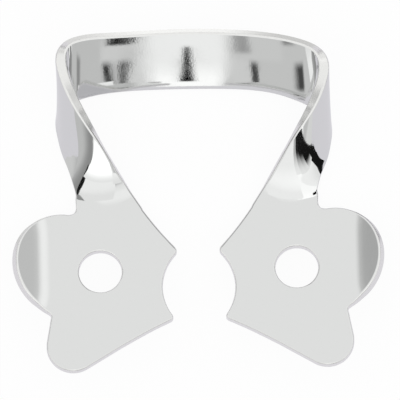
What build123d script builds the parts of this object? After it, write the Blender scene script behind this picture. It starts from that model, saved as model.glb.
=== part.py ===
# Winged molar clamp for a rubber dam, made of one stamped sheet of spring steel.
# A leaning bow joins two legs, each leg twists into a flat jaw, and each jaw has
# a forceps hole, two prongs on the tooth side, an outer lobe and a front lobe.
#
# Frame: X across the clamp, Y from the jaws back to the bow, Z up from the table
# that the clamp rests on. The origin lies on the table, under the middle of the
# clamp's overall width and length. The sizes below are taken from the point midway
# between the holes.
from build123d import *
from math import acos, cos, radians, sin, sqrt
import os

os.makedirs("parts", exist_ok=True)

# Sheet
sheet = 0.76  # thickness of the spring steel
edge_break = 0.12  # bevel that tumbling leaves on every cut edge

# Bow and legs, all measured at the middle of the sheet
bow_length = 11.83  # from the neck back to the middle of the bow's upper edge, seen from above
bow_half_width = 9.25  # from the middle plane out to the widest part of the legs
bow_height = 3.57  # upper edge of the legs above the table
bow_foot = 0.26  # middle of the sheet at the bow's lower edge above the table
bow_corner_offset = 0.45  # the left corner sits this far behind the mean, the right one before it
bow_shift = 0.08  # the bow stands this far to the left of the jaws' middle plane

# Jaws
jaw_tilt = 17.0  # degrees that the jaws rise towards the front
hole_spacing = 13.72
hole_diameter = 3.0
rear_prong_x = 1.36  # corner of the rear prong before rounding, from the middle plane
rear_prong_y = 1.40
front_prong_x = 1.70
front_prong_y = -3.52
prong_round = 0.32
hollow_x = 2.52  # deepest point of the hollow that clears the tooth
hollow_y = -0.94
tooth_edge_x = 2.70  # the edge behind the rear prong bows slightly through this point
tooth_edge_y = 2.95
front_edge_x = 2.74  # the front edge dips through these points on its way to the lobe
front_edge_y = -4.00
front_bend_x = 5.50
front_bend_y = -5.48

# Front lobe
front_lobe_x = 8.87
front_lobe_y = -5.33
front_lobe_radius = 1.86
waist_angle = -78.25  # the notch beside it, in degrees as seen from the outer lobe's centre
waist_depth = 0.28  # the notch's corner lies this far outside the outer lobe's round
waist_round = 0.22

# Outer lobe, in the flat pattern, and the bend that lifts it
lobe_x = 9.56
lobe_y = 0.70
lobe_radius = 3.55
bend_angle = 27.0
bend_radius = 0.95  # at the middle of the sheet
bend_gap = 0.21  # the bend starts this far outside the notch

# Neck, where the twisted leg meets the flat jaw
neck_inner_x = 3.85
neck_outer_x = 8.44
neck_gap = 1.00  # from the outer lobe's round back to the neck's outer end
neck_height = 0.48  # middle of the sheet above the table at the neck's outer end
neck_slant = 0.52  # the neck's inner end lies this far before its outer end
neck_inner_lead_x = 0.43  # the leg already lies in the jaw's plane this far before the neck
neck_inner_lead_y = 0.73
neck_outer_lead = 0.25
neck_clearance = 0.02  # the leg's end lies this far below the neck's surface on all sides
throat_round = 0.75  # inner corner between the neck and the outer lobe

# Stations of the bow and one leg, from the middle of the bow to the twist. Upper
# and lower edge of the sheet: x as a share of the half width, y of the length
# behind the neck, z of the height for the upper edge and of the foot for the lower
# one. The last column is the share of the corner's offset.
edge_shares = [
    ((0.000, 1.000, 0.816), (0.000, 0.672, 1.00), 0.00),
    ((0.324, 0.995, 0.813), (0.324, 0.670, 1.00), 0.30),
    ((0.616, 0.980, 0.821), (0.616, 0.651, 1.00), 0.60),
    ((0.811, 0.957, 0.848), (0.811, 0.612, 1.00), 0.90),
    ((0.941, 0.913, 0.893), (0.943, 0.553, 1.00), 1.00),
    ((0.989, 0.841, 0.960), (1.000, 0.453, 1.00), 1.00),
    ((0.973, 0.739, 0.992), (0.992, 0.347, 1.04), 1.00),
    ((0.924, 0.634, 1.008), (0.968, 0.263, 1.12), 0.90),
    ((0.854, 0.528, 0.992), (0.936, 0.195, 1.23), 0.75),
    ((0.773, 0.424, 0.923), (0.917, 0.144, 1.34), 0.55),
    ((0.692, 0.318, 0.783), (0.910, 0.106, 1.42), 0.35),
    ((0.614, 0.216, 0.563), (0.906, 0.074, 1.48), 0.20),
    ((0.538, 0.116, 0.310), (0.906, 0.046, 1.50), 0.10),
]

def lobe_back_y(flat_x):
    """Back end of the outer lobe's round at an x of the flat pattern."""
    return lobe_y + sqrt(lobe_radius**2 - (flat_x - lobe_x) ** 2)


# The notch, the bend and the neck take their places from the outer lobe's round
waist = Vector(
    lobe_x + (lobe_radius + waist_depth) * cos(radians(waist_angle)),
    lobe_y + (lobe_radius + waist_depth) * sin(radians(waist_angle)),
)
bend_x = waist.X + bend_gap
neck_outer_y = lobe_back_y(neck_outer_x) + neck_gap
neck_inner_y = neck_outer_y - neck_slant
neck_back_y = neck_outer_y * cos(radians(jaw_tilt))  # seen from above
jaw_rise = neck_height + neck_outer_y * sin(radians(jaw_tilt))

# The jaws lie in one plane that rises towards the front, with its origin midway
# between the holes, its x to the right and its y backwards
jaw_plane = Plane(origin=(0, 0, jaw_rise), x_dir=(1, 0, 0), z_dir=(0, 0, 1)).rotated((-jaw_tilt, 0, 0))

# The outer lobe's front edge is the line from the notch that touches its round
touch_angle = radians(waist_angle) + acos(lobe_radius / (lobe_radius + waist_depth))
touch_x = lobe_x + lobe_radius * cos(touch_angle)
touch_y = lobe_y + lobe_radius * sin(touch_angle)


def lobe_front_y(flat_x):
    """Front edge of the outer lobe at an x of the flat pattern."""
    return waist.Y + (touch_y - waist.Y) * (flat_x - waist.X) / (touch_x - waist.X)


def edge_pair(upper, lower, offset_share, side):
    """The two edge points of the sheet at one station, on the given side."""
    points = []
    for (x_share, y_share, z_share), height in ((upper, bow_height), (lower, bow_foot)):
        x = side * x_share * bow_half_width
        y = neck_back_y + y_share * bow_length - offset_share * bow_corner_offset * side * x_share
        points.append(Vector(x - offset_share * bow_shift, y, z_share * height))
    return points


def neck_pair(inner_x, inner_y, outer_x, outer_y, side):
    """The two edge points of the sheet where it lies in the jaw's plane."""
    return [
        jaw_plane.from_local_coords(Vector(side * inner_x, inner_y, 0)),
        jaw_plane.from_local_coords(Vector(side * outer_x, outer_y, 0)),
    ]


def half_strip(side):
    """Edge points from the middle of the bow to the neck of one jaw."""
    pairs = [edge_pair(*station, side) for station in edge_shares]
    lead_x = neck_inner_x + neck_inner_lead_x
    lead_y = neck_inner_y + neck_inner_lead_y
    pairs.append(neck_pair(lead_x, lead_y, neck_outer_x, neck_outer_y + neck_outer_lead, side))
    pairs.append(neck_pair(neck_inner_x, neck_inner_y, neck_outer_x, neck_outer_y, side))
    return pairs


def rim_edges(flat_piece, thickness_axis, joints):
    """Edges of a flat piece's two faces, without those where the next stretch joins on."""
    rims = flat_piece.faces().filter_by(thickness_axis).edges()
    for joint in joints:
        rims = rims.filter_by(lambda edge: (edge.center() - joint).length > sheet)
    return rims


# Right jaw, modelled lying flat: first the outline of the plate up to the lobe's bend
with BuildSketch() as front_lobe:
    with BuildLine():
        CenterArc((front_lobe_x, front_lobe_y), front_lobe_radius, 0, 360)
        Line((front_bend_x, front_bend_y), (waist.X, waist.Y))
    make_hull()

with BuildSketch() as plate_outline:
    with BuildLine():
        tooth_edge = ThreePointArc(
            (neck_inner_x, neck_inner_y),
            (tooth_edge_x, tooth_edge_y),
            (rear_prong_x, rear_prong_y),
        )
        hollow = ThreePointArc(
            tooth_edge @ 1,
            (hollow_x, hollow_y),
            (front_prong_x, front_prong_y),
        )
        front_edge = Spline(
            hollow @ 1,
            (front_edge_x, front_edge_y),
            (front_bend_x, front_bend_y),
        )
        Polyline(
            front_edge @ 1,
            (waist.X, waist.Y),
            (bend_x, lobe_front_y(bend_x)),
            (bend_x, lobe_y),
            (neck_outer_x, lobe_y),
            (neck_outer_x, neck_outer_y),
            (neck_inner_x, neck_inner_y),
        )
    make_face()
    add(front_lobe.sketch)
    with Locations((lobe_x, lobe_y)):
        Circle(lobe_radius)
    with Locations((bend_x, lobe_front_y(bend_x))):
        Rectangle(lobe_radius, 3 * lobe_radius, align=(Align.MIN, Align.MIN), mode=Mode.SUBTRACT)
    fillet(plate_outline.vertices().sort_by(Axis.X)[:2], prong_round)
    throat = Vector(neck_outer_x, lobe_back_y(neck_outer_x))
    fillet(plate_outline.vertices().sort_by_distance(throat)[0], throat_round)
    fillet(plate_outline.vertices().sort_by_distance(waist)[0], waist_round)

neck_middle = Vector((neck_inner_x + neck_outer_x) / 2, (neck_inner_y + neck_outer_y) / 2)
bend_middle = Vector(bend_x, (lobe_front_y(bend_x) + lobe_back_y(bend_x)) / 2)

with BuildPart() as plate:
    extrude(plate_outline.sketch, amount=sheet / 2, both=True)
    with Locations((hole_spacing / 2, 0)):
        Hole(hole_diameter / 2)
    chamfer(rim_edges(plate, Axis.Z, [neck_middle, bend_middle]), edge_break)

# The outer lobe, raised by the bend, with its outline's x measured from the bend's end
bend_end_x = bend_x + radians(bend_angle) * bend_radius  # in the flat pattern
lobe_plane = Plane(
    origin=(
        bend_x + bend_radius * sin(radians(bend_angle)),
        0,
        bend_radius * (1 - cos(radians(bend_angle))),
    ),
    x_dir=(cos(radians(bend_angle)), 0, sin(radians(bend_angle))),
    z_dir=(-sin(radians(bend_angle)), 0, cos(radians(bend_angle))),
)
bend_end_middle = lobe_plane.from_local_coords(
    Vector(0, (lobe_front_y(bend_end_x) + lobe_back_y(bend_end_x)) / 2)
)

with BuildPart() as outer_lobe:
    with BuildSketch(lobe_plane):
        with BuildLine():
            lobe_arc = ThreePointArc(
                (0, lobe_back_y(bend_end_x)),
                (lobe_x + lobe_radius - bend_end_x, lobe_y),
                (touch_x - bend_end_x, touch_y),
            )
            Polyline(
                lobe_arc @ 1,
                (0, lobe_front_y(bend_end_x)),
                (0, lobe_back_y(bend_end_x)),
            )
        make_face()
    extrude(amount=sheet / 2, both=True)
    chamfer(rim_edges(outer_lobe, Axis((0, 0, 0), lobe_plane.z_dir), [bend_end_middle]), edge_break)

# The bend joins the two through a section of the sheet at half its angle
with BuildPart() as bend:
    half_angle = radians(bend_angle) / 2
    half_x = bend_x + half_angle * bend_radius
    half_plane = Plane(
        origin=(
            bend_x + bend_radius * sin(half_angle),
            (lobe_front_y(half_x) + lobe_back_y(half_x)) / 2,
            bend_radius * (1 - cos(half_angle)),
        ),
        x_dir=(0, 1, 0),
        z_dir=(cos(half_angle), 0, sin(half_angle)),
    )
    with BuildSketch(half_plane, mode=Mode.PRIVATE) as half_way:
        Rectangle(lobe_back_y(half_x) - lobe_front_y(half_x), sheet)
        chamfer(half_way.vertices(), edge_break)
    loft(
        [
            plate.faces().sort_by_distance(bend_middle)[0],
            half_way.sketch.faces()[0],
            outer_lobe.faces().sort_by_distance(bend_end_middle)[0],
        ]
    )

# Both jaws, tilted
with BuildPart() as jaws:
    with Locations(jaw_plane.location):
        add([plate.part, bend.part, outer_lobe.part])
    mirror(about=Plane.YZ)

# The strip runs from the left neck over the bow to the right neck
left_half = half_strip(-1)
right_half = half_strip(1)
strip = left_half[::-1] + right_half[1:]
middles = [(upper + lower) / 2 for upper, lower in strip]

with BuildPart() as formed_sheet:
    for number, (upper, lower) in enumerate(strip):
        across = upper - lower
        width = across.length
        thickness = sheet
        if number in (0, len(strip) - 1):
            face_normal = jaw_plane.z_dir
            width -= 2 * neck_clearance
            thickness -= 2 * neck_clearance
        else:
            face_normal = across.cross(middles[number + 1] - middles[number - 1])
        station_plane = Plane(
            origin=middles[number],
            x_dir=across,
            z_dir=across.cross(face_normal),
        )
        with BuildSketch(station_plane) as section:
            Rectangle(width, thickness)
            chamfer(section.vertices(), edge_break)
    loft()
    add(jaws.part)

# The clamp set on the table, centred over the origin
extent = formed_sheet.part.bounding_box()

with BuildPart() as clamp:
    with Locations((-extent.center().X, -extent.center().Y, -extent.min.Z)):
        add(formed_sheet.part)

clamp.part.label = "clamp"
export_step(clamp.part, "parts/clamp.step")
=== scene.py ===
# %% [markdown]
# # A rubber dam clamp
#
# A dentist's clamp that holds a rubber sheet round a molar. It is cut from one
# sheet of spring steel, bent cold, and then tumbled and polished. Two flat jaws
# grip the tooth, two twisted legs carry them, and a leaning bow behind is the
# spring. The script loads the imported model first: it says how big the clamp is
# and where it lies, and every mesh below is made in the same frame, in metres.

# %% Load the frame
from math import acos, atan2, cos, pi, radians, sin, sqrt

import bmesh
import bpy
import numpy as np
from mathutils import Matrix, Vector
from mathutils.geometry import delaunay_2d_cdt


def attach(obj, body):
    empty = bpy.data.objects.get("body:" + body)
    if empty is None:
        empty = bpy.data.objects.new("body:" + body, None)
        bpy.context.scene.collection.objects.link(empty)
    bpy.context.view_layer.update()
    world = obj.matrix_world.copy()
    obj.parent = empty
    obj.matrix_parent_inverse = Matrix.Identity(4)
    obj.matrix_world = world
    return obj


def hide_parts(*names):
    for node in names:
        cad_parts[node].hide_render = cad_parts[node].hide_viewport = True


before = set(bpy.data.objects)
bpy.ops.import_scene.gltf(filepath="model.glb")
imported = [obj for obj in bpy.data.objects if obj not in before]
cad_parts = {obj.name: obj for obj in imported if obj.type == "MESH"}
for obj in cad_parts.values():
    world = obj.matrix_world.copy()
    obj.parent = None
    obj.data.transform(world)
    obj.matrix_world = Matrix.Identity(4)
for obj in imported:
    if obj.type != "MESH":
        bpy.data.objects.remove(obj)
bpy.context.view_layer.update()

# %% [markdown]
# ## Sizes
#
# These are the part's own sizes, in millimetres. The jaw is drawn flat, before
# the lobe is bent up, in a plane whose origin is the midpoint between the two
# holes: the real blank is cut flat as well, and flat shapes are easy to measure.
# The bow and the legs could be swept along a path, but then their width couldn't
# lean and turn freely. So they are given by the two edges of the strip, at thirteen
# stations from the middle of the bow to close before the neck.

# %% Sheet, jaw and lobe sizes
MM = 0.001
SHEET = 0.76  # thickness
RIM_ROUND = 0.15  # radius of the tumbled rim

JAW_TILT = radians(17.0)
HOLES_Y = -4.93837  # line of the holes, from the middle of the clamp
JAW_RISE = 1.94911  # middle of the sheet above the table at that line

HOLE_X = 6.86
HOLE_RADIUS = 1.5
REAR_PRONG = (1.36, 1.40)
FRONT_PRONG = (1.70, -3.52)
HOLLOW = (2.52, -0.94)
TOOTH_EDGE = (2.70, 2.95)
FRONT_EDGE = (2.74, -4.00)
FRONT_BEND = (5.50, -5.48)
FRONT_LOBE = (8.87, -5.33)
FRONT_LOBE_RADIUS = 1.86
WAIST = (10.34, -3.05)
LOBE = (9.56, 0.70)
LOBE_RADIUS = 3.55
BEND_X = 10.55
BEND_RADIUS = 0.95
BEND_ANGLE = radians(27.0)
NECK_INNER = (3.85, 4.55)
NECK_OUTER = (8.44, 5.07)
NECK_LEAD_INNER = (0.43, 0.73)  # steps behind the neck, where the strip is still flat
NECK_LEAD_OUTER = 0.25
PRONG_ROUND = 0.36
THROAT_ROUND = 0.75
WAIST_ROUND = 0.20
print("hole", 2 * HOLE_RADIUS, "mm across, between holes", 2 * HOLE_X)

# %% Bow and leg sizes
BOW_LENGTH = 11.83  # from the neck back to the middle of the bow's upper edge
NECK_BACK_Y = 4.847
BOW_HALF_WIDTH = 9.25
BOW_HEIGHT = 3.57  # highest place of the upper edge
BOW_FOOT = 0.26  # lower edge of the bow
BOW_SKEW = 0.45  # how far the left end of the bow lies back, and the right end forward
BOW_SHIFT = 0.08  # how far the bow lies to the left
STRIP_DROP = 0.01283  # lets the lowest point of the clamp touch the table

# Each station: the upper and the lower edge, as shares of the bow's half width,
# length and height or foot, then how much of the bow's skew it takes
EDGE_SHARES = [
    ((0.000, 1.000, 0.816), (0.000, 0.672, 1.00), 0.00),
    ((0.324, 0.995, 0.813), (0.324, 0.670, 1.00), 0.30),
    ((0.616, 0.980, 0.821), (0.616, 0.651, 1.00), 0.60),
    ((0.811, 0.957, 0.848), (0.811, 0.612, 1.00), 0.90),
    ((0.941, 0.913, 0.893), (0.943, 0.553, 1.00), 1.00),
    ((0.989, 0.841, 0.960), (1.000, 0.453, 1.00), 1.00),
    ((0.973, 0.739, 0.992), (0.992, 0.347, 1.04), 1.00),
    ((0.924, 0.634, 1.008), (0.968, 0.263, 1.12), 0.90),
    ((0.854, 0.528, 0.992), (0.936, 0.195, 1.23), 0.75),
    ((0.773, 0.424, 0.923), (0.917, 0.144, 1.34), 0.55),
    ((0.692, 0.318, 0.783), (0.910, 0.106, 1.42), 0.35),
    ((0.614, 0.216, 0.563), (0.906, 0.074, 1.48), 0.20),
    ((0.538, 0.116, 0.310), (0.906, 0.046, 1.50), 0.10),
]
print("stations from the middle of the bow", len(EDGE_SHARES))

# %% [markdown]
# ## The jaw's outline
#
# The outline is walked once round as a line of closely spaced points. Arcs come
# from three points or from a centre, and a sharp corner is eased by a short curve
# that starts and ends the same distance from it. A curve object could be drawn by
# hand instead, but its arcs wouldn't follow the sizes above. The walk starts at
# the neck's inner end, goes round the tooth side and the front lobe, and ends at
# the neck's outer end.

# %% Arcs and straight lines
STEP = 0.10  # from one point of the outline to the next


def arc_about(centre, radius, start, end):
    """Points on an arc, from one angle to another."""
    count = max(2, int(abs(end - start) * radius / STEP))
    angles = np.linspace(start, end, count + 1)
    return np.array(centre) + radius * np.column_stack([np.cos(angles), np.sin(angles)])


def arc_through(first, middle, last):
    """Points on the arc from the first point through the middle one to the last."""
    a, b, c = (np.array(p, float) for p in (first, middle, last))
    rows = 2 * np.array([b - a, c - a])
    centre = np.linalg.solve(rows, [b @ b - a @ a, c @ c - a @ a])
    angles = [atan2(*(p - centre)[::-1]) for p in (a, b, c)]
    turn = (angles[2] - angles[0]) % (2 * pi)
    if (angles[1] - angles[0]) % (2 * pi) > turn:
        turn -= 2 * pi
    radius = np.linalg.norm(a - centre)
    return arc_about(centre, radius, angles[0], angles[0] + turn)


def straight(first, last):
    """Points on a straight line."""
    a, b = np.array(first, float), np.array(last, float)
    count = max(1, int(np.linalg.norm(b - a) / STEP))
    return a + (b - a) * np.linspace(0, 1, count + 1)[:, None]


print("points on 1 mm of a line", len(straight((0, 0), (1, 0))))

# %% A smooth curve through points
def spline_through(points, count, start_slope=None, end_slope=None):
    """A smooth curve through points of any dimension, evenly divided between them."""
    knots = np.array(points, float)
    gaps = np.linalg.norm(np.diff(knots[:, :3], axis=0), axis=1)
    size = len(knots)
    system = np.zeros((size, size))
    right = np.zeros_like(knots)
    system[0, 0] = system[-1, -1] = 1
    for row in range(1, size - 1):
        before, after = gaps[row - 1], gaps[row]
        system[row, row - 1 : row + 2] = [after, 2 * (before + after), before]
        right[row] = 3 * (
            after * (knots[row] - knots[row - 1]) / before
            + before * (knots[row + 1] - knots[row]) / after
        )
    if start_slope is None:
        system[0, :2] = [2, 1]
        right[0] = 3 * (knots[1] - knots[0]) / gaps[0]
        system[-1, -2:] = [1, 2]
        right[-1] = 3 * (knots[-1] - knots[-2]) / gaps[-1]
    else:
        right[0], right[-1] = start_slope, end_slope
    slopes = np.linalg.solve(system, right)
    rows = []
    for index in range(size - 1):
        gap = gaps[index]
        for share in np.linspace(0, 1, count, endpoint=False):
            rows.append(
                (1 + 2 * share) * (1 - share) ** 2 * knots[index]
                + share * (1 - share) ** 2 * gap * slopes[index]
                + share**2 * (3 - 2 * share) * knots[index + 1]
                - share**2 * (1 - share) * gap * slopes[index + 1]
            )
    rows.append(knots[-1])
    return np.array(rows)


print("points of a short curve", len(spline_through([(0, 0), (1, 1), (2, 0)], 4)))

# %% Join lines and ease corners
def join(*pieces):
    """One line of points from several, each of which starts where the last one ends."""
    return np.vstack([pieces[0]] + [piece[1:] for piece in pieces[1:]])


def ease_corner(line, corner, reach):
    """Replaces the points near a corner with a curve that touches both sides."""
    distances = np.linalg.norm(line - corner, axis=1)
    centre = int(distances.argmin())
    first = centre
    while first > 0 and np.linalg.norm(line[first] - corner) < reach:
        first -= 1
    last = centre
    while last < len(line) - 1 and np.linalg.norm(line[last] - corner) < reach:
        last += 1
    shares = np.linspace(0, 1, max(4, int(2 * reach / (STEP / 2))))[:, None]
    curve = (
        (1 - shares) ** 2 * line[first]
        + 2 * shares * (1 - shares) * np.array(corner)
        + shares**2 * line[last]
    )
    return np.vstack([line[:first], curve, line[last + 1 :]])


def touch_angle(centre, radius, point, side):
    """Angle, seen from a circle's centre, where a line from the point touches the circle."""
    away = np.array(point) - np.array(centre)
    return atan2(away[1], away[0]) + side * acos(radius / np.linalg.norm(away))


corner = ease_corner(join(straight((0, 1), (0, 0)), straight((0, 0), (1, 0))), (0, 0), 0.5)
print("points of an eased corner", len(corner))

# %% Walk the outline
FRONT_CURVE_POINTS = 16  # from one of its three points to the next

front_start = touch_angle(FRONT_LOBE, FRONT_LOBE_RADIUS, FRONT_BEND, 1)
front_end = touch_angle(FRONT_LOBE, FRONT_LOBE_RADIUS, WAIST, -1)
front_round = arc_about(FRONT_LOBE, FRONT_LOBE_RADIUS, front_start, front_end)
lobe_start = touch_angle(LOBE, LOBE_RADIUS, WAIST, 1)
throat = (NECK_OUTER[0], LOBE[1] + sqrt(LOBE_RADIUS**2 - (NECK_OUTER[0] - LOBE[0]) ** 2))
lobe_end = atan2(throat[1] - LOBE[1], throat[0] - LOBE[0])
lobe_round = arc_about(LOBE, LOBE_RADIUS, lobe_start, lobe_end)
front_curve = spline_through([FRONT_PRONG, FRONT_EDGE, FRONT_BEND], FRONT_CURVE_POINTS)

outline = join(
    arc_through(NECK_INNER, TOOTH_EDGE, REAR_PRONG),
    arc_through(REAR_PRONG, HOLLOW, FRONT_PRONG),
    front_curve,
    straight(FRONT_BEND, front_round[0]),
    front_round,
    straight(front_round[-1], WAIST),
    straight(WAIST, lobe_round[0]),
    lobe_round,
    straight(throat, NECK_OUTER),
)
for corner, reach in (
    (REAR_PRONG, PRONG_ROUND),
    (FRONT_PRONG, PRONG_ROUND),
    (WAIST, WAIST_ROUND),
    (throat, THROAT_ROUND),
):
    outline = ease_corner(outline, corner, reach)
print("outline points", len(outline))

# %% [markdown]
# ## The jaw as a sheet without thickness
#
# A tumbled rim is round above and below. So the flat of the sheet stops one rim
# radius inside the outline, and the rim is wrapped round it later. One face with
# many corners would do for a flat jaw, but it couldn't bend with its lobe. So the
# inside is filled with evenly spread points joined into triangles, with columns
# closer together where the lobe bends, so that the bend comes out smooth.

# %% Find the flat jaw's border
ACROSS = 24  # divisions of the strip's width, shared by the neck and the legs

tangents = np.gradient(outline, axis=0)
tangents /= np.linalg.norm(tangents, axis=1)[:, None]
# The walk runs anticlockwise, so the inside lies to the left of its way
inward = np.column_stack([-tangents[:, 1], tangents[:, 0]])
inset = outline + RIM_ROUND * inward

neck_way = np.array(NECK_OUTER) - np.array(NECK_INNER)
neck_way /= np.linalg.norm(neck_way)
neck_first = np.array(NECK_INNER) + RIM_ROUND * neck_way
neck_last = np.array(NECK_OUTER) - RIM_ROUND * neck_way
neck_line = neck_last + (neck_first - neck_last) * np.linspace(0, 1, ACROSS + 1)[:, None]
loop = np.vstack([neck_line[-1:], inset[1:-1], neck_line[:-1]])

following = np.roll(outline, -1, axis=0)
area = np.sum(outline[:, 0] * following[:, 1] - following[:, 0] * outline[:, 1]) / 2
print("jaw area before its hole", round(area, 1), "mm2, border of", len(loop), "points")

# %% Tell where a point lies
LEVEL = 1e-12  # mm of height under which an edge counts as level


def inside(points, polygon):
    """Which points lie inside a closed polygon."""
    result = np.zeros(len(points), bool)
    for start, end in zip(polygon, np.roll(polygon, -1, axis=0)):
        crosses = (start[1] > points[:, 1]) != (end[1] > points[:, 1])
        height = end[1] - start[1]
        if abs(height) < LEVEL:
            continue
        at_x = start[0] + (points[:, 1] - start[1]) * (end[0] - start[0]) / height
        result ^= crosses & (points[:, 0] < at_x)
    return result


def far_from(points, line, distance):
    """Which points lie further than a distance from every point of a line."""
    gaps = np.linalg.norm(points[:, None, :] - line[None, :, :], axis=2)
    return gaps.min(axis=1) > distance


print("the hole's middle lies in the jaw:", inside(np.array([[HOLE_X, 0.0]]), loop)[0])

# %% Fill the flat jaw with points
FILL_STEP = 0.34
FILL_CLEARANCE = FILL_STEP / 2  # kept free between the fill and the borders
FILL_SPAN = (-7.4, 5.4)  # from front to back, a little past both ends of the jaw
BEND_COLUMNS = 9
HOLE_POINTS = 96

hole_inset = HOLE_RADIUS + RIM_ROUND
hole_angles = np.linspace(0, 2 * pi, HOLE_POINTS, endpoint=False)
hole_ring = np.column_stack([np.cos(hole_angles), np.sin(hole_angles)])
hole_loop = np.array([HOLE_X, 0]) + hole_inset * hole_ring

bend_end = BEND_X + BEND_ANGLE * BEND_RADIUS
columns = np.concatenate(
    [
        np.arange(loop[:, 0].min(), BEND_X - FILL_CLEARANCE, FILL_STEP),
        np.linspace(BEND_X, bend_end, BEND_COLUMNS),
        np.arange(bend_end + FILL_CLEARANCE, loop[:, 0].max(), FILL_STEP),
    ]
)
grid = np.array([(x, y) for x in columns for y in np.arange(*FILL_SPAN, FILL_STEP)])
clear = far_from(grid, loop, FILL_CLEARANCE) & far_from(grid, hole_loop, FILL_CLEARANCE)
fill = grid[inside(grid, loop) & clear]
fill = fill[np.linalg.norm(fill - [HOLE_X, 0], axis=1) > hole_inset]
print("hole ring of", HOLE_POINTS, "points, fill of", len(fill))

# %% Join the flat points into triangles
SNAP = 1e-7  # mm within which two points count as one
SLIVER = 1e-6  # mm2: a triangle of less than half of this is left out
HOLE_SHARE = 0.999  # of the hole's border: triangles nearer to its middle are left out

flat_points = np.vstack([loop, hole_loop, fill])
loop_ids = range(len(loop))
hole_ids = range(len(loop), len(loop) + HOLE_POINTS)
edges = [(ids[place - 1], ids[place]) for ids in (loop_ids, hole_ids) for place in range(len(ids))]
made, _, triangles, *_ = delaunay_2d_cdt([Vector(p) for p in flat_points], edges, [], 0, SNAP)
flat = np.array([tuple(p) for p in made])
corners = np.array([flat[list(face)] for face in triangles])
centres = corners.mean(axis=1)
sides_a, sides_b = corners[:, 1] - corners[:, 0], corners[:, 2] - corners[:, 0]
sizes = np.abs(sides_a[:, 0] * sides_b[:, 1] - sides_a[:, 1] * sides_b[:, 0])
from_hole = np.linalg.norm(centres - [HOLE_X, 0], axis=1)
wanted = inside(centres, loop) & (from_hole > hole_inset * HOLE_SHARE) & (sizes > SLIVER)
triangles = [tuple(face) for face, use in zip(triangles, wanted) if use]
print("jaw points", len(flat), "triangles", len(triangles))

# %% Bend the lobe and tilt the jaw
def bend_angle(x):
    """How far the sheet has turned up at a distance from the middle of the clamp."""
    return min(max(x - BEND_X, 0), bend_end - BEND_X) / BEND_RADIUS


def jaw_position(point, side):
    """A point of the flat pattern, carried over the bend and into the tilted jaw."""
    x, y = point
    angle = bend_angle(x)
    beyond = max(x - bend_end, 0)
    up = BEND_RADIUS * (1 - cos(angle)) + beyond * sin(angle)
    out = min(x, BEND_X) + BEND_RADIUS * sin(angle) + beyond * cos(angle)
    return (
        side * out,
        HOLES_Y + y * cos(JAW_TILT) + up * sin(JAW_TILT),
        JAW_RISE - y * sin(JAW_TILT) + up * cos(JAW_TILT),
    )


def jaw_normal(point, side):
    """Which way the upper face of the jaw looks at a point of the flat pattern."""
    angle = bend_angle(point[0])
    return (-side * sin(angle), sin(JAW_TILT) * cos(angle), cos(JAW_TILT) * cos(angle))


jaws = {side: np.array([jaw_position(point, side) for point in flat]) for side in (-1, 1)}
jaw_normals = {side: np.array([jaw_normal(point, side) for point in flat]) for side in (-1, 1)}
print("jaw spans", jaws[1].min(axis=0).round(2), jaws[1].max(axis=0).round(2))

# %% [markdown]
# ## The bow and the twisted legs
#
# On the real clamp the blank's middle is bent into the bow, and the legs twist as
# the press folds it. A plane could be bent with modifiers, but its edges would
# drift. Here the strip between the two necks is one smooth surface, and its two
# edges are curves through the stations. At each end they leave the neck in the
# jaw's own plane, so that no crease shows where the leg starts to twist. Rows of
# points across the strip, close together, keep reflections in the steel clean.

# %% Place the stations
def half_strip(side):
    """Upper and lower edge at each station, from the middle of the bow to the neck."""
    rows = []
    for upper, lower, skew in EDGE_SHARES:
        row = []
        for (x_share, y_share, z_share), height in ((upper, BOW_HEIGHT), (lower, BOW_FOOT)):
            x = side * x_share * BOW_HALF_WIDTH
            y = NECK_BACK_Y + y_share * BOW_LENGTH - skew * BOW_SKEW * x / BOW_HALF_WIDTH
            row += [x - skew * BOW_SHIFT, HOLES_Y + y, z_share * height - STRIP_DROP]
        rows.append(row)
    lead_inner = np.array(NECK_INNER) + NECK_LEAD_INNER
    lead_outer = np.array(NECK_OUTER) + [0, NECK_LEAD_OUTER]
    rows.append([*jaw_position(lead_inner, side), *jaw_position(lead_outer, side)])
    rows.append([*jaw_position(NECK_INNER, side), *jaw_position(NECK_OUTER, side)])
    return np.array(rows)


stations = np.vstack([half_strip(-1)[::-1], half_strip(1)[1:]])
print("stations from neck to neck", len(stations))

# %% Lay the strip from neck to neck
STATION_ROWS = 14  # rows from one station to the next

middles = (stations[:, :3] + stations[:, 3:]) / 2
first_gap = np.linalg.norm(middles[1] - middles[0])


def edge_curve(columns):
    """One edge of the strip as a smooth curve that starts and ends in the jaws' plane."""
    knots = np.hstack([middles, stations[:, columns]])
    start = (knots[1] - knots[0]) / first_gap
    end = (knots[-1] - knots[-2]) / first_gap
    return spline_through(knots, STATION_ROWS, start, end)[:, 3:]


upper_edge = edge_curve(slice(0, 3))
lower_edge = edge_curve(slice(3, 6))
widths = np.linalg.norm(lower_edge - upper_edge, axis=1)[:, None]
ways = (lower_edge - upper_edge) / widths
spread = np.linspace(0, 1, ACROSS + 1)
strip = np.array(
    [
        upper + way * (RIM_ROUND + (width - 2 * RIM_ROUND) * share)
        for upper, way, width in zip(upper_edge, ways, widths)
        for share in spread
    ]
).reshape(len(upper_edge), ACROSS + 1, 3)
print("strip rows", len(strip), "width at the bow", round(float(widths[len(widths) // 2, 0]), 2))

# %% [markdown]
# ## The bulges of the polished strip
#
# The bow isn't a plain band: its width is a little crowned and its middle arched,
# and each leg is rolled while it twists. These bulges are a few tenths of a
# millimetre, but polished steel turns them into the long dark and light shapes
# that the photo shows. They could be painted on the surface, but then they would
# stay put when the view turns. So the points move, along the sheet's own direction.

# %% Helpers for the sheet
points, normals, faces = [], [], []


def add_points(new_points, new_normals):
    """Adds points to the sheet and returns the number of the first one."""
    start = len(points)
    points.extend(map(tuple, new_points))
    normals.extend(map(tuple, new_normals))
    return start


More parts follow.
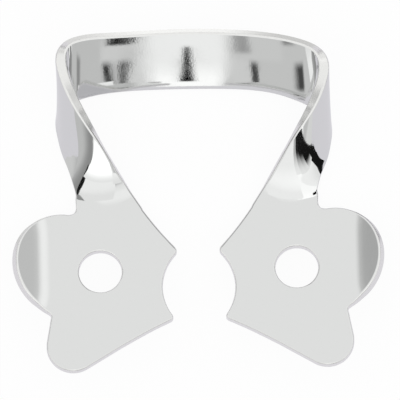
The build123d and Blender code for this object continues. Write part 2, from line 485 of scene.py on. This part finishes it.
def grid_normals(grid):
    """Directions square to a grid of points, on the side that the jaws' upper faces look to."""
    square = np.cross(np.gradient(grid, axis=0), np.gradient(grid, axis=1))
    square /= np.linalg.norm(square, axis=2)[:, :, None]
    return square if square[1, ACROSS // 2, 2] > 0 else -square


def fade(value, full, none):
    """1 up to one value, falling smoothly to 0 at another."""
    share = np.clip((none - value) / (none - full), 0, 1)
    return share * share * (3 - 2 * share)


print("fade at a quarter, a half and three quarters", fade(np.array([0.25, 0.5, 0.75]), 0, 1))

# %% Bulge the bow and the legs
CROWN = 0.16  # how far the width of the bow bulges towards its inner side
CROWN_FADE = (8.5, 12.0)  # distances from the middle of the bow between which it fades
LOWER_ROLL = 0.035  # how far the lowest part of the width turns back again
LOWER_SHARE = 0.2
ARCH = 0.10  # extra bulge of the bow backwards, in its middle
ARCH_REACH = 6.2
LEG_ROLL = 0.36  # how far the width of each leg bulges outwards while it twists
ROLL_START = 6.0  # distances before the neck: the roll starts, is full and starts to fade
ROLL_FULL = 3.2
ROLL_END = 1.6

over_width = np.broadcast_to(spread, strip.shape[:2])
parabola = 4 * over_width * (1 - over_width)
lowest = np.clip(over_width - (1 - LOWER_SHARE), 0, 1) / LOWER_SHARE
steps = np.linalg.norm(np.diff(strip.mean(axis=1), axis=0), axis=1)
to_neck = steps.sum() / 2
from_middle = np.abs(np.concatenate([[0], np.cumsum(steps)]) - to_neck)[:, None]
bulge = (CROWN * parabola - LOWER_ROLL * lowest**2) * fade(from_middle, *CROWN_FADE)
bulge = bulge - ARCH * fade(from_middle, 0, ARCH_REACH)
rolling = fade(from_middle, to_neck - ROLL_FULL, to_neck - ROLL_START)
rolling = rolling * fade(from_middle, to_neck - ROLL_END, to_neck)
bulge = bulge - LEG_ROLL * parabola * rolling
strip = strip - bulge[:, :, None] * grid_normals(strip)
print("from the middle of the bow to a neck", to_neck.round(2))
print("bulge", bulge.min().round(3), "to", bulge.max().round(3))

# %% [markdown]
# ## One sheet, with thickness and rounded rims
#
# Jaws and strip share their points along the necks, so they join into one sheet,
# as the real clamp is one. Each point then gives one point above and one below,
# half the thickness away along the sheet's own direction there. The open borders
# are closed by a rim: a quarter round, a short straight wall and a quarter round.
# The solidify and bevel modifiers could do the same, but they leave no say in the
# shading directions. Those are set here from the same rule, so the flats stay
# flat right up to their rims.

# %% Join the strip and the jaws
strip_normals = grid_normals(strip)
for row, side in ((0, -1), (-1, 1)):
    strip_normals[row] = jaw_normal(NECK_INNER, side)
strip_start = add_points(strip.reshape(-1, 3), strip_normals.reshape(-1, 3))
for row in range(len(strip) - 1):
    for column in range(ACROSS):
        corner = strip_start + row * (ACROSS + 1) + column
        faces.append((corner, corner + 1, corner + ACROSS + 2, corner + ACROSS + 1))

# The neck's points of each jaw are the strip's own end rows
neck_ids = [0] + list(range(len(loop) - ACROSS, len(loop)))
for side, row in ((-1, 0), (1, len(strip) - 1)):
    start = add_points(jaws[side], jaw_normals[side])
    shared = {}
    for neck_id in neck_ids:
        place = jaws[side][neck_id]
        nearest = int(np.linalg.norm(strip[row] - place, axis=1).argmin())
        shared[neck_id] = strip_start + row * (ACROSS + 1) + nearest
    for face in triangles:
        faces.append(tuple(shared.get(index, start + index) for index in face))

points = np.array(points)
normals = np.array(normals)
print("sheet points", len(points), "faces", len(faces))

# %% [markdown]
# ## Soft folds
#
# Where a leg meets its jaw, and where the outer lobe bends up, cold work leaves a
# soft fold and not a line. Each fold could have a radius of its own in the mesh,
# but it would move the outline that the photo fixes. Only the light shows it, so
# the points stay, and the shading directions are averaged over a short distance.

# %% Measure the sheet round each point
areas = np.zeros(len(points))
for face in faces:
    a, b, c = (points[index] for index in face[:3])
    size = np.linalg.norm(np.cross(b - a, c - a)) / (2 if len(face) == 3 else 1)
    for index in face:
        areas[index] += size / len(face)
in_use = areas > 0
print("sheet area", areas.sum().round(1), "mm2, points in use", in_use.sum())

# %% Ease the folds
EASE_REAR = 1.1  # reach of the average round the necks
REAR_ZONE = (-4.2, 4.6)
REAR_HALF_WIDTH = 9.5
EASE_WING = 0.45  # reach of the average at the front of the outer lobes
WING_INNER_X = 8.6
WING_BACK_Y = -1.0
CUT_OFF = 3  # the average leaves out what is this many reaches away
EASE_FADE = (1.0, 4.5)  # towards the back, the easing fades between these two places


def ease_folds(zone, reach):
    """Averages the sheet's directions over a short distance, for the points of a zone."""
    chosen = np.nonzero(zone)[0]
    centre = points[chosen]
    low, high = centre.min(axis=0) - CUT_OFF * reach, centre.max(axis=0) + CUT_OFF * reach
    near = np.nonzero(((points > low) & (points < high)).all(axis=1) & in_use)[0]
    averaged = []
    for index in chosen:
        gaps = ((points[near] - points[index]) ** 2).sum(axis=1)
        weight = np.exp(-gaps / (2 * reach**2)) * areas[near]
        mean = weight @ normals[near]
        averaged.append(mean / np.linalg.norm(mean))
    return chosen, np.array(averaged)


across, along = points[:, 0], points[:, 1]
rear = (along > REAR_ZONE[0]) & (along < REAR_ZONE[1]) & (np.abs(across) < REAR_HALF_WIDTH) & in_use
wing = (np.abs(across) > WING_INNER_X) & (along < WING_BACK_Y) & in_use
eased = []
for side in (-1, 1):
    eased.append(ease_folds(rear & (side * across > 0), EASE_REAR))
    eased.append(ease_folds(wing & (side * across > 0), EASE_WING))
for chosen, averaged in eased:
    amount = fade(along[chosen], *EASE_FADE)[:, None]
    mixed = normals[chosen] * (1 - amount) + averaged * amount
    normals[chosen] = mixed / np.linalg.norm(mixed, axis=1)[:, None]
print("points with eased folds", sum(len(chosen) for chosen, _ in eased))

# %% Turn every face to the sheet's upper side
turned = []
for face in faces:
    a, b, c = (points[index] for index in face[:3])
    turn = np.cross(b - a, c - a)
    turned.append(face if turn @ normals[face[0]] > 0 else face[::-1])
print("faces turned round", sum(old != new for old, new in zip(faces, turned)))
faces = turned

# %% Find the open borders
directed = set()
for face in faces:
    for start, end in zip(face, face[1:] + face[:1]):
        directed.add((start, end))
borders = {start: end for start, end in directed if (end, start) not in directed}

loops = []
while borders:
    chain = [next(iter(borders))]
    while True:
        following = borders.pop(chain[-1])
        if following == chain[0]:
            break
        chain.append(following)
    loops.append(chain)
print("borders", [len(chain) for chain in loops])

# %% Give the sheet its two sides
half = SHEET / 2
body_points = [tuple(point + half * normal) for point, normal in zip(points, normals)]
body_points += [tuple(point - half * normal) for point, normal in zip(points, normals)]
body_normals = [tuple(normal) for normal in normals] + [tuple(-normal) for normal in normals]
body_faces = list(faces) + [tuple(index + len(points) for index in face[::-1]) for face in faces]
print("points on both sides", len(body_points), "faces", len(body_faces))

# %% Wrap the rims
ROUND_STEPS = 5
CUT_SHARE = 0.55  # a rim point is cut edge where the rim's outward share is above this

profile = []
for step in range(1, ROUND_STEPS + 1):
    turn = pi / 2 * step / ROUND_STEPS
    profile.append((RIM_ROUND * sin(turn), half - RIM_ROUND + RIM_ROUND * cos(turn), turn))
profile += [(out, -height, pi - turn) for out, height, turn in profile[::-1]]

edge_share = [0.0] * len(body_points)
for chain in loops:
    places = points[chain]
    ups = normals[chain]
    ahead = np.roll(places, -1, axis=0) - np.roll(places, 1, axis=0)
    outs = np.cross(ahead, ups)
    outs /= np.linalg.norm(outs, axis=1)[:, None]
    rings = [list(chain)]
    for out, height, turn in profile[:-1]:
        start = len(body_points)
        body_points += [tuple(row) for row in places + out * outs + height * ups]
        body_normals += [tuple(row) for row in sin(turn) * outs + cos(turn) * ups]
        edge_share += [1.0 if sin(turn) > CUT_SHARE else 0.0] * len(chain)
        rings.append(list(range(start, start + len(chain))))
    rings.append([index + len(points) for index in chain])
    for above, below in zip(rings, rings[1:]):
        for place in range(len(chain)):
            after = (place + 1) % len(chain)
            body_faces.append((above[after], above[place], below[place], below[after]))
print("points with rims", len(body_points), "faces", len(body_faces))

# %% Make the mesh object
PIECE = "clamp_sheet"


def add_object(name, data):
    """A new object of the scene, which shows a mesh or a camera."""
    shape = bpy.data.objects.new(name, data)
    bpy.context.scene.collection.objects.link(shape)
    return shape


# The jaws' own neck points are in no face, since the strip's points took their place
used = sorted({index for face in body_faces for index in face})
new_number = {index: number for number, index in enumerate(used)}
mesh = bpy.data.meshes.new(PIECE)
mesh.from_pydata(
    [tuple(c * MM for c in body_points[index]) for index in used],
    [],
    [tuple(new_number[index] for index in face) for face in body_faces],
)
mesh.validate()
mesh.polygons.foreach_set("use_smooth", [True] * len(mesh.polygons))
mesh.normals_split_custom_set_from_vertices([body_normals[index] for index in used])
cut = mesh.attributes.new("cut_edge", "FLOAT", "POINT")
cut.data.foreach_set("value", [edge_share[index] for index in used])
clamp = add_object(PIECE, mesh)

check = bmesh.new()
check.from_mesh(mesh)
open_edges = sum(1 for edge in check.edges if not edge.is_manifold)
volume = check.calc_volume(signed=True) / MM**3
check.free()
print("faces", len(mesh.polygons), "open edges", open_edges, "volume mm3", round(volume, 1))

# %% [markdown]
# ## Polished stainless steel
#
# The real surface is spring stainless, tumbled and then polished: a mirror with
# a slight haze. The last polish leaves a grain of a few hundredths of a
# millimetre, and cold bending leaves the sheet faintly uneven. A plain mirror
# would look too perfect, and a picture of steel would show its own reflections.
# So it is a metal whose gloss and relief come from noise, in real sizes. The cut
# edge is satin, because it is tumbled but hardly polished.

# %% Colour and node helpers
def linear(hex_colour):
    """An sRGB hex colour as linear red, green, blue and alpha."""
    channels = [int(hex_colour[i : i + 2], 16) / 255 for i in (1, 3, 5)]
    return [c / 12.92 if c <= 0.04045 else ((c + 0.055) / 1.055) ** 2.4 for c in channels] + [1.0]


def new_material(name):
    """A material with an empty node tree."""
    material = bpy.data.materials.new(name)
    material.use_nodes = True
    material.node_tree.nodes.clear()
    return material


def add_node(tree, kind, inputs=None, **settings):
    """Adds a node and sets its options. Each input gets a value, or a link from a socket."""
    node = tree.nodes.new(kind)
    for name, value in settings.items():
        setattr(node, name, value)
    for name, value in (inputs or {}).items():
        if isinstance(value, bpy.types.NodeSocket):
            tree.links.new(value, node.inputs[name])
        else:
            node.inputs[name].default_value = value
    return node


print("the steel's grey, linear", [round(c, 3) for c in linear("#DDDEDD")])

# %% Steel material
CLOUDS_PER_MM = 0.9  # patches of slightly stronger and weaker haze
CLOUD_RANGE = (0.35, 0.65)  # where nearly all of the noise lies
MIRROR_ROUGHNESS = (0.035, 0.065)
EDGE_ROUGHNESS = 0.24
WAVES_PER_MM = 1.8
WAVE_DEPTH = 0.0006
# The real grain is about 0.02 mm wide. It is drawn at 0.1 mm, or it would not show
GRAINS_PER_MM = 9
GRAIN_DEPTH = 0.006
GRAIN_STRENGTH = (0.09, 1.0)  # on the polished faces and on the cut edge

steel = new_material("polished_stainless_steel")
tree = steel.node_tree
place = add_node(tree, "ShaderNodeTexCoord").outputs["Object"]
on_edge = add_node(tree, "ShaderNodeAttribute", attribute_name="cut_edge").outputs["Fac"]

# Colour: the cut edge is paler, because its fine roughness gathers light from all sides
colour = add_node(
    tree,
    "ShaderNodeMix",
    {"Factor": on_edge, "A": linear("#DDDEDD"), "B": linear("#E8E8E6")},
    data_type="RGBA",
)

# Gloss: a mirror with cloudy patches, and a satin edge
cloud, waves, grain = (
    add_node(
        tree, "ShaderNodeTexNoise", {"Vector": place, "Scale": per_mm / MM, "Detail": detail}
    ).outputs[0]
    for per_mm, detail in ((CLOUDS_PER_MM, 3.0), (WAVES_PER_MM, 2.0), (GRAINS_PER_MM, 2.0))
)
mirror = add_node(
    tree,
    "ShaderNodeMapRange",
    {
        "Value": cloud,
        "From Min": CLOUD_RANGE[0],
        "From Max": CLOUD_RANGE[1],
        "To Min": MIRROR_ROUGHNESS[0],
        "To Max": MIRROR_ROUGHNESS[1],
    },
)
gloss = add_node(
    tree,
    "ShaderNodeMix",
    {"Factor": on_edge, "A": mirror.outputs[0], "B": EDGE_ROUGHNESS},
    data_type="FLOAT",
)

# Relief: the faint waviness of a tumbled sheet, then the grain that the last polish leaves
waved = add_node(
    tree, "ShaderNodeBump", {"Height": waves, "Strength": 1.0, "Distance": WAVE_DEPTH * MM}
)
grain_strength = add_node(
    tree,
    "ShaderNodeMapRange",
    {"Value": on_edge, "To Min": GRAIN_STRENGTH[0], "To Max": GRAIN_STRENGTH[1]},
)
grained = add_node(
    tree,
    "ShaderNodeBump",
    {
        "Height": grain,
        "Strength": grain_strength.outputs[0],
        "Normal": waved.outputs[0],
        "Distance": GRAIN_DEPTH * MM,
    },
)
shader = add_node(
    tree,
    "ShaderNodeBsdfPrincipled",
    {
        "Base Color": colour.outputs["Result"],
        "Roughness": gloss.outputs["Result"],
        "Normal": grained.outputs[0],
        "Metallic": 1.0,
    },
)
add_node(tree, "ShaderNodeOutputMaterial", {"Surface": shader.outputs["BSDF"]})
print("steel nodes", len(tree.nodes))

# %% Hand the clamp to the frame
clamp.data.materials.append(steel)
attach(clamp, "root")
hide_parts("clamp")
print("materials of the clamp", len(clamp.data.materials))

# %% [markdown]
# ## Floor
#
# The photo is cut out on pure white. In a studio that is white paper, lit until
# it is as bright as the film can show. A lamp could do that here too, but it would
# also glare in the steel. So the paper glows at plain white for the camera and for
# mirrors. A small share of it stays matt paper, where the clamp's soft shadow
# falls. In mirrors it is a little violet, like the outer faces of the photo's legs,
# and a little greyer: that grey is painted shade of the paper round the clamp.

# %% Floor
FLOOR_REACH = 1.0  # metres
GLOW_SHARE = 0.93

floor_mesh = bpy.data.meshes.new("floor")
floor_corners = [(x * FLOOR_REACH, y * FLOOR_REACH, 0) for x, y in ((-1, -1), (1, -1), (1, 1), (-1, 1))]
floor_mesh.from_pydata(floor_corners, [], [(0, 1, 2, 3)])
floor = add_object("floor", floor_mesh)

paper = new_material("white_paper")
tree = paper.node_tree
rays = add_node(tree, "ShaderNodeLightPath")
seen_by = rays.outputs["Is Camera Ray"]
for other in ("Is Glossy Ray", "Is Transmission Ray"):
    seen_by = add_node(
        tree, "ShaderNodeMath", {0: seen_by, 1: rays.outputs[other]}, operation="MAXIMUM"
    ).outputs[0]
share = add_node(tree, "ShaderNodeMath", {0: seen_by, 1: GLOW_SHARE}, operation="MULTIPLY")
# In mirrors the paper is violet and greyer: the grey is painted shade of the paper round the clamp
mirror_shade_tint = add_node(
    tree,
    "ShaderNodeMix",
    {"Factor": rays.outputs["Is Glossy Ray"], "A": (1, 1, 1, 1), "B": linear("#EBE9EF")},
    data_type="RGBA",
)
matt = add_node(tree, "ShaderNodeBsdfDiffuse", {"Color": linear("#F4F4F4")})
glow = add_node(tree, "ShaderNodeEmission", {"Color": mirror_shade_tint.outputs["Result"], "Strength": 1.0})
blend = add_node(
    tree, "ShaderNodeMixShader", {0: share.outputs[0], 1: matt.outputs[0], 2: glow.outputs[0]}
)
add_node(tree, "ShaderNodeOutputMaterial", {"Surface": blend.outputs[0]})
floor.data.materials.append(paper)
print("paper nodes", len(tree.nodes))

# %% [markdown]
# ## Cards near the clamp
#
# Polished metal is photographed between small white, grey and black cards, which
# shape what it mirrors. Lamps could only add highlights. Patches of the far studio
# can't do it alone either, because what a fold mirrors there would show in the bow
# as well. Cards that stand close are mirrored by one part of the clamp only. Each
# glows on its front, with a tone that runs from one place to another, and neither
# the camera nor the floor sees it.
# The grey card and the black card that lie on the floor beside the legs are painted shadow: they stand
# for the clamp's shade on the paper, as mirrors see it.

# %% Card helpers
CARD_LIFT = 0.03  # of a card that lies on the floor


def card(name, corners, axis, first, last):
    """A small one-sided card that only mirrors see. Its tone runs from one place to another."""
    card_mesh = bpy.data.meshes.new(name)
    card_mesh.from_pydata(
        [tuple(c * MM for c in corner) for corner in corners], [], [tuple(range(len(corners)))]
    )
    paint = new_material(name)
    tree = paint.node_tree
    place = add_node(tree, "ShaderNodeTexCoord")
    parts = add_node(tree, "ShaderNodeSeparateXYZ", {0: place.outputs["Object"]})
    tone = add_node(
        tree,
        "ShaderNodeMapRange",
        {
            "Value": parts.outputs[axis],
            "From Min": first[0] * MM,
            "From Max": last[0] * MM,
            "To Min": first[1],
            "To Max": last[1],
        },
        interpolation_type="SMOOTHSTEP",
    )
    light = add_node(
        tree, "ShaderNodeEmission", {"Strength": tone.outputs[0], "Color": (1, 1, 1, 1)}
    )
    clear = add_node(tree, "ShaderNodeBsdfTransparent")
    facing = add_node(tree, "ShaderNodeNewGeometry").outputs["Backfacing"]
    one_sided = add_node(
        tree, "ShaderNodeMixShader", {0: facing, 1: light.outputs[0], 2: clear.outputs[0]}
    )
    add_node(tree, "ShaderNodeOutputMaterial", {"Surface": one_sided.outputs[0]})
    card_mesh.materials.append(paint)
    shape = add_object(name, card_mesh)
    shape.visible_camera = False
    shape.visible_diffuse = False
    shape.visible_shadow = False


def facing_corners(corners, low, high, sign):
    """Corners in the order that turns the card's front the right way."""
    turn = sum(a[low] * b[high] - b[low] * a[high] for a, b in zip(corners, corners[1:] + corners[:1]))
    return corners if turn * sign > 0 else corners[::-1]


def standing(distance, outline):
    """Corners of an upright card at a distance before the clamp's middle, facing back."""
    return facing_corners([(x, -distance, z) for x, z in outline], 0, 2, -1)


def lying(outline):
    """Corners of a card that lies on the floor, face up."""
    return facing_corners([(x, y, CARD_LIFT) for x, y in outline], 0, 1, 1)


def rectangle(left, right, bottom, top):
    """The outline of a rectangular card."""
    return [(left, bottom), (left, top), (right, top), (right, bottom)]


BLACK = ("Z", (0.0, 0.01), (1.0, 0.01))
print("a card that stands 2 mm before the middle:", standing(2.0, rectangle(1.0, 2.0, 0.0, 1.0)))

# %% Cards for the left leg
# Each card: its name, its corners, the axis of its gradient, and two places with their tones
BESIDE_NECKS = -0.9
BEFORE_NECKS = 2.0
OVERLAP = 0.01  # where two cards overlap, mirrors see the one that stands nearer

LEFT_CARDS = [
    (
        "left_reflector",
        standing(BESIDE_NECKS, [(-8.9, 2.2), (-8.5, 6.8), (-5.8, 6.8), (-5.8, 2.2)]),
        "Z", (2.2, 1.05), (3.1, 1.5),
    ),
    (
        "left_plain_card",
        standing(9.1, rectangle(-19.5, -4.6, 5.0, 30.0)),
        "Z", (9.0, 1.12), (16.0, 1.0),
    ),
    (
        "left_inner_card",
        standing(BESIDE_NECKS, rectangle(-5.8, -4.9, 1.95, 2.85)),
        "Z", (2.0, 1.0), (2.8, 1.15),
    ),
    (
        "left_grey_card",
        standing(
            BEFORE_NECKS + OVERLAP,
            [(-24.0, 0.1), (-24.0, 9.5), (-10.7, 9.5)]
            + [(-10.75, 7.0), (-11.0, 5.6), (-12.0, 4.4), (-12.4, 0.1)],
        ),
        "X", (-19.0, 0.66), (-12.0, 0.34),
    ),
    (
        "left_dark_slip",
        standing(
            BEFORE_NECKS - 10 * OVERLAP,
            [(-12.1, 2.7), (-11.9, 5.0), (-11.5, 5.0), (-11.2, 3.6), (-11.0, 3.3), (-11.1, 2.9)],
        ),
        *BLACK,
    ),
    # Painted shadow: this grey card lies on the floor beside the left leg and stands for the clamp's
    # shade on the paper, as the leg mirrors it
    (
        "left_floor_grey",
        lying([(-9.7, 2.7), (-12.0, 2.35), (-21.5, -2.0), (-12.0, -2.0), (-9.3, 1.5)]),
        "X", (-18.0, 0.62), (-10.0, 0.78),
    ),
]
for values in LEFT_CARDS:
    card(*values)
print("cards for the left leg", len(LEFT_CARDS))

# %% Cards for the right leg and the rims
# The dark tail below the right bend fades downwards, so it is four cards side by side
RIGHT_CARDS = [
    (
        "right_reflector",
        standing(
            BEFORE_NECKS,
            [(4.0, 1.2), (3.6, 12.0), (9.6, 12.0), (9.2, 7.5), (8.6, 4.2), (9.2, 1.2)],
        ),
        "Z", (2.6, 1.36), (5.2, 1.12),
    ),
    (
        "rim_card_left",
        lying([(-11.0, 12.0), (0.0, 12.0), (0.0, 60.0), (-20.0, 60.0)]),
        "X", (-8.5, 0.85), (-3.5, 1.12),
    ),
    (
        "rim_card_right",
        lying([(0.0, 12.0), (11.0, 12.0), (20.0, 60.0), (0.0, 60.0)]),
        "X", (7.0, 0.72), (2.0, 1.12),
    ),
    (
        "right_tail_edge",
        standing(BESIDE_NECKS, [(7.3, 2.4), (7.3, 7.0), (7.8, 7.5), (7.8, 2.4)]),
        "Z", (2.4, 1.1), (4.9, 0.55),
    ),
    (
        "right_tail_left",
        standing(BESIDE_NECKS, rectangle(7.8, 8.4, 2.3, 8.0)),
        "Z", (2.3, 1.05), (4.8, 0.02),
    ),
    (
        "right_tail_middle",
        standing(BESIDE_NECKS, rectangle(8.4, 9.2, 2.3, 8.0)),
        "Z", (2.4, 1.0), (4.3, 0.01),
    ),
    (
        "right_tail_right",
        standing(BESIDE_NECKS, [(9.2, 2.35), (9.2, 8.0), (10.0, 5.6), (11.2, 4.3), (11.2, 2.35)]),
        "Z", (2.35, 0.95), (3.2, 0.01),
    ),
    (
        "right_fold_card",
        standing(BEFORE_NECKS + 3 * OVERLAP, rectangle(8.6, 13.0, 3.6, 14.0)),
        "Z", (3.6, 1.3), (8.0, 1.36),
    ),
    (
        "right_low_reflector",
        standing(
            BEFORE_NECKS + 2 * OVERLAP,
            [(8.8, 0.1), (8.8, 3.6), (13.0, 3.6), (15.2, 2.9), (16.4, 0.1)],
        ),
        "Z", (1.0, 1.0), (3.4, 1.15),
    ),
]
for values in RIGHT_CARDS:
    card(*values)
print("cards for the right leg and the rims", len(RIGHT_CARDS))

# %% Cards for the bow's corners and the dark curve
# Grey in the middle of the clamp: the tight corners of the bow mirror it
CORNER_CARDS = [
    (
        "corner_card_right",
        [(3.5, 7.0, 6.8), (-1.27, 0.2, 6.8), (-1.27, 0.2, 0.5), (3.5, 7.0, 0.5)],
        "Y", (7.0, 0.35), (-2.0, 0.62),
    ),
    (
        "corner_card_left",
        [(-3.5, 7.0, 0.5), (1.27, 0.2, 0.5), (1.27, 0.2, 6.8), (-3.5, 7.0, 6.8)],
        "Y", (7.0, 0.3), (-2.0, 0.55),
    ),
    (
        "right_dark_card",
        standing(
            BEFORE_NECKS - 2 * OVERLAP,
            [(11.0, 6.3), (12.6, 4.8), (15.0, 2.8), (16.2, 0.03)]
            + [(21.0, 0.03), (18.8, 2.7), (15.9, 5.2), (11.6, 9.2)],
        ),
        *BLACK,
    ),
    (
        # Painted shadow: this black card lies on the floor beside the right leg and stands for the
        # clamp's shade on the paper, as the leg mirrors it. It also draws the floor's end of the dark
        # curve
        "right_floor_dark",
        lying([(10.5, 1.9), (13.9, 1.0), (21.0, -2.0), (14.6, -2.0), (11.7, -0.4), (10.9, 0.8)]),
        *BLACK,
    ),
]
for values in CORNER_CARDS:
    card(*values)
print("cards for the corners and the dark curve", len(CORNER_CARDS))

# %% [markdown]
# ## Studio light
#
# Polished steel shows its surroundings, so the surroundings are drawn with care.
# A white tent would make the clamp one even grey. A real tent has a dim seam, a
# gap where the camera looks in, and a darker horizon, and these draw the bends. A
# photo of a studio could stand in, but then no part of it could be moved. So each
# of them is a soft patch of the world, placed by its bearing from the front, to
# the right, and by its height, both in degrees. Only mirrors see the patches: the
# camera sees plain white, and the floor gets plain white light.

# %% Angles of the surroundings
world = bpy.data.worlds.new("studio")
bpy.context.scene.world = world
world.use_nodes = True
tree = world.node_tree
tree.nodes.clear()
look = add_node(tree, "ShaderNodeTexCoord")
parts = add_node(tree, "ShaderNodeSeparateXYZ", {0: look.outputs["Generated"]})
front = add_node(tree, "ShaderNodeMath", {0: parts.outputs["Y"], 1: -1.0}, operation="MULTIPLY")
bearing = add_node(
    tree, "ShaderNodeMath", {0: parts.outputs["X"], 1: front.outputs[0]}, operation="ARCTAN2"
)
height = add_node(tree, "ShaderNodeMath", {0: parts.outputs["Z"]}, operation="ARCSINE")
print("studio nodes before the patches", len(tree.nodes))

# %% Soft patches
def band(value, reach, soft):
    """1 where an angle is smaller than reach, falling to 0 over the soft width."""
    size = add_node(tree, "ShaderNodeMath", {0: value}, operation="ABSOLUTE")
    fall = add_node(
        tree,
        "ShaderNodeMapRange",
        {
            "Value": size.outputs[0],
            "From Min": radians(reach + soft / 2),
            "From Max": radians(max(reach - soft / 2, 0)),
        },
        interpolation_type="SMOOTHSTEP",
    )
    return fall.outputs["Result"]


def patch(below, tone, centre, reach, soft, taper=0.0):
    """Paints one soft patch over the studio. It may widen or narrow with its height."""
    aside, above = (
        add_node(
            tree, "ShaderNodeMath", {0: angle.outputs[0], 1: radians(middle)}, operation="SUBTRACT"
        ).outputs[0]
        for angle, middle in zip((bearing, height), centre)
    )
    if taper:
        width = add_node(
            tree, "ShaderNodeMath", {0: above, 1: taper, 2: 1.0}, operation="MULTIPLY_ADD"
        )
        aside = add_node(
            tree, "ShaderNodeMath", {0: aside, 1: width.outputs[0]}, operation="DIVIDE"
        ).outputs[0]
    both = add_node(
        tree,
        "ShaderNodeMath",
        {0: band(aside, reach[0], soft[0]), 1: band(above, reach[1], soft[1])},
        operation="MULTIPLY",
    )
    layer = add_node(
        tree, "ShaderNodeMix", {"Factor": both.outputs[0], "A": below, "B": tone}, data_type="FLOAT"
    )
    return layer.outputs["Result"]


# Tone, then bearing and height of the middle, half width and half height, the two
# soft widths, and for some how fast they widen with height
PATCHES = [
    (0.72, (-26, 20), (25, 20), (6, 6)),
    (0.68, (26, 20), (25, 20), (6, 6)),
    (0.86, (-68, 14), (17, 22), (6, 8)),
    (0.86, (68, 14), (17, 22), (6, 8)),
    (1.12, (14, 66), (40, 16), (24, 20)),
    (0.76, (-12, 31), (5, 7), (4, 4)),
    (0.80, (-6.0, 12), (1.6, 12), (1.5, 6)),
    (0.40, (-6.8, 34), (1.2, 6), (1.2, 4)),
    (0.80, (5.9, 32), (1.3, 9), (1.5, 5)),
    (0.84, (3.3, 12), (0.8, 14), (1.0, 6)),
    (1.14, (-0.8, 18), (3.6, 27), (1.6, 8), 1.1),
    (1.34, (-0.8, 5), (2.6, 12), (1.2, 14), 1.1),
    (0.12, (13, 1.6), (5, 1.0), (3, 1.0)),
    (1.20, (-14, 1.6), (7, 1.0), (3, 1.0)),
    (0.03, (6.2, 13), (0.62, 11), (0.5, 6)),
    (0.02, (4.4, 13), (0.36, 11), (0.3, 6)),
    (0.0, (-0.5, 19.5), (0.55, 12), (0.3, 3), -1.4),
    (0.08, (-8.4, 12), (0.75, 10), (0.6, 6)),
    (0.08, (-25, 15), (2.6, 8), (3, 6)),
    (0.25, (-21, 37), (3.5, 3), (3, 3)),
    (0.0, (5.3, 38.5), (0.8, 4.5), (0.4, 2)),
    (0.35, (24, 14), (3.5, 12), (4, 6)),
    (0.20, (127, 3), (50, 3), (6, 3)),
    (0.20, (-127, 3), (50, 3), (6, 3)),
    (0.68, (118, 25), (16, 8), (12, 12)),
    (0.44, (-120, 24), (15, 6), (18, 18)),
    (1.14, (140, 45), (16, 8), (14, 14)),
]
studio = 1.0
for patch_values in PATCHES:
    studio = patch(studio, *patch_values)
print("studio patches", len(PATCHES))

# %% World
rays = add_node(tree, "ShaderNodeLightPath")
seen = add_node(
    tree,
    "ShaderNodeMix",
    {"Factor": rays.outputs["Is Glossy Ray"], "A": 1.0, "B": studio},
    data_type="FLOAT",
)
sky = add_node(
    tree, "ShaderNodeBackground", {"Strength": seen.outputs["Result"], "Color": (1, 1, 1, 1)}
)
add_node(tree, "ShaderNodeOutputWorld", {"Surface": sky.outputs[0]})
print("studio nodes", len(tree.nodes))

# %% [markdown]
# ## Camera
#
# The photo looks straight down from far away: the far and the near parts of the
# clamp have one scale. An orthographic camera would take away the last trace of
# perspective, and a near one would add too much. So a long lens looks down from
# 1.2 m, turned and shifted as little as the photo asks for.

# %% Camera
DISTANCE = 1.2  # metres
IMAGE_PIXELS = 400
PIXELS_PER_MM = 14.3
PHOTO_MIDDLE = (0.22, -0.03)  # the place, in mm, that lies in the middle of the photo
PHOTO_TURN = radians(1.45)
SENSOR = 36  # mm across
NEAREST, FURTHEST = 0.01, 10  # metres between which the camera sees

camera_data = bpy.data.cameras.new("camera")
camera_data.sensor_width = SENSOR
camera_data.lens = SENSOR * DISTANCE / (IMAGE_PIXELS / PIXELS_PER_MM * MM)
camera_data.clip_start = NEAREST
camera_data.clip_end = FURTHEST
camera = add_object("camera", camera_data)
camera.location = (PHOTO_MIDDLE[0] * MM, PHOTO_MIDDLE[1] * MM, DISTANCE)
camera.rotation_euler = (0, 0, -PHOTO_TURN)
bpy.context.scene.camera = camera
print("lens", round(camera_data.lens), "mm")

# %% [markdown]
# ## Finish
#
# Tones are kept as they are: a film-like view would grey the white paper.

# %% Finish
scene_view = bpy.context.scene.view_settings
scene_view.view_transform = "Standard"
